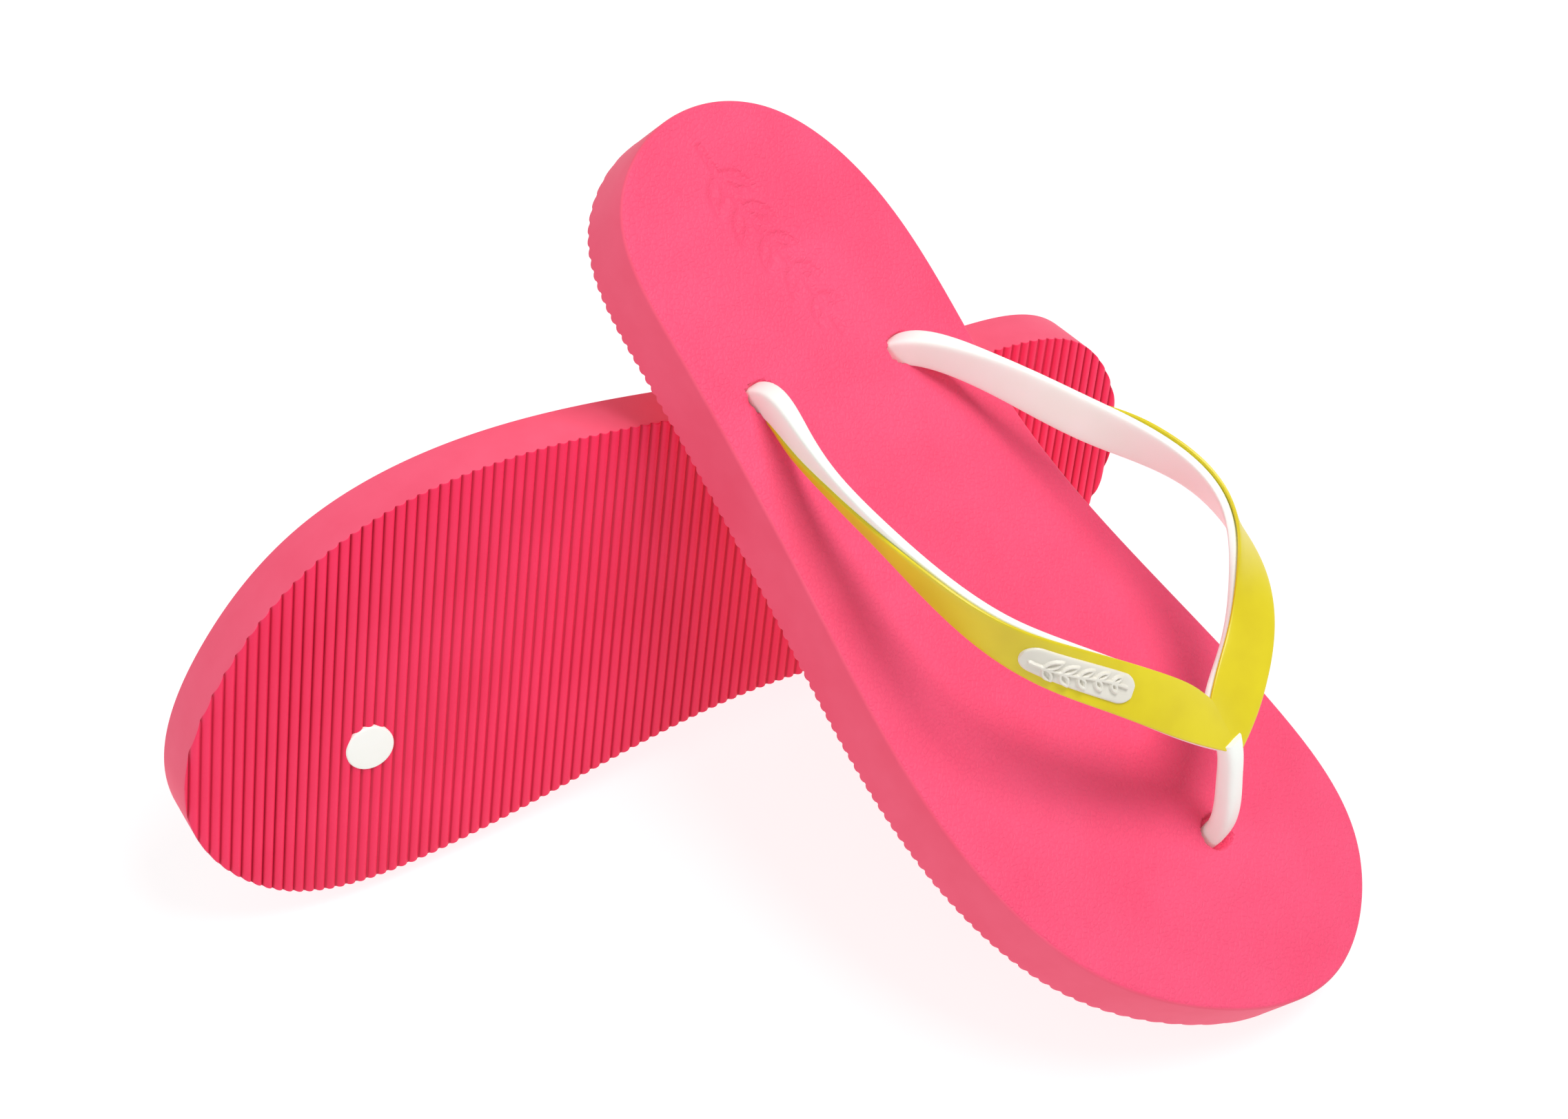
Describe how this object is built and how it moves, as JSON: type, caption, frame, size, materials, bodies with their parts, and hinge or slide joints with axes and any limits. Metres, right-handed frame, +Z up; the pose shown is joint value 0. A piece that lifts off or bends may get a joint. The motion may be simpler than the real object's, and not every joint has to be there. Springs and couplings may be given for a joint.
{
  "type": "flip-flops",
  "caption": "Pair of foam flip-flops with ribbed soles and two-layer thong straps; one stands on its long edge and the other leans on it, footbed up.",
  "frame": {"origin": "middle of the pair's footprint, on the floor", "axes": "+Z up; the left sandal's toe points to -X and -Y, the right sandal's toe to +X and -Y"},
  "size_m": [0.2878, 0.1858, 0.1456],
  "materials": {
    "pink_eva": "matte foam",
    "white_pvc": "satin",
    "yellow_pvc": "satin"
  },
  "bodies": {
    "left_sandal": {"left_sole": "pink_eva", "left_strap": "white_pvc", "left_strap_overlay": "yellow_pvc", "left_emblem": "white_pvc"},
    "right_sandal": {"right_sole": "pink_eva", "right_strap": "white_pvc", "right_strap_overlay": "yellow_pvc", "right_emblem": "white_pvc"}
  },
  "joints": [
    {"name": "right_sandal_lift", "type": "slide", "parent": "left_sandal", "child": "right_sandal", "axis": [0, 0, 1], "range_m": [0, 0.15]}
  ]
}
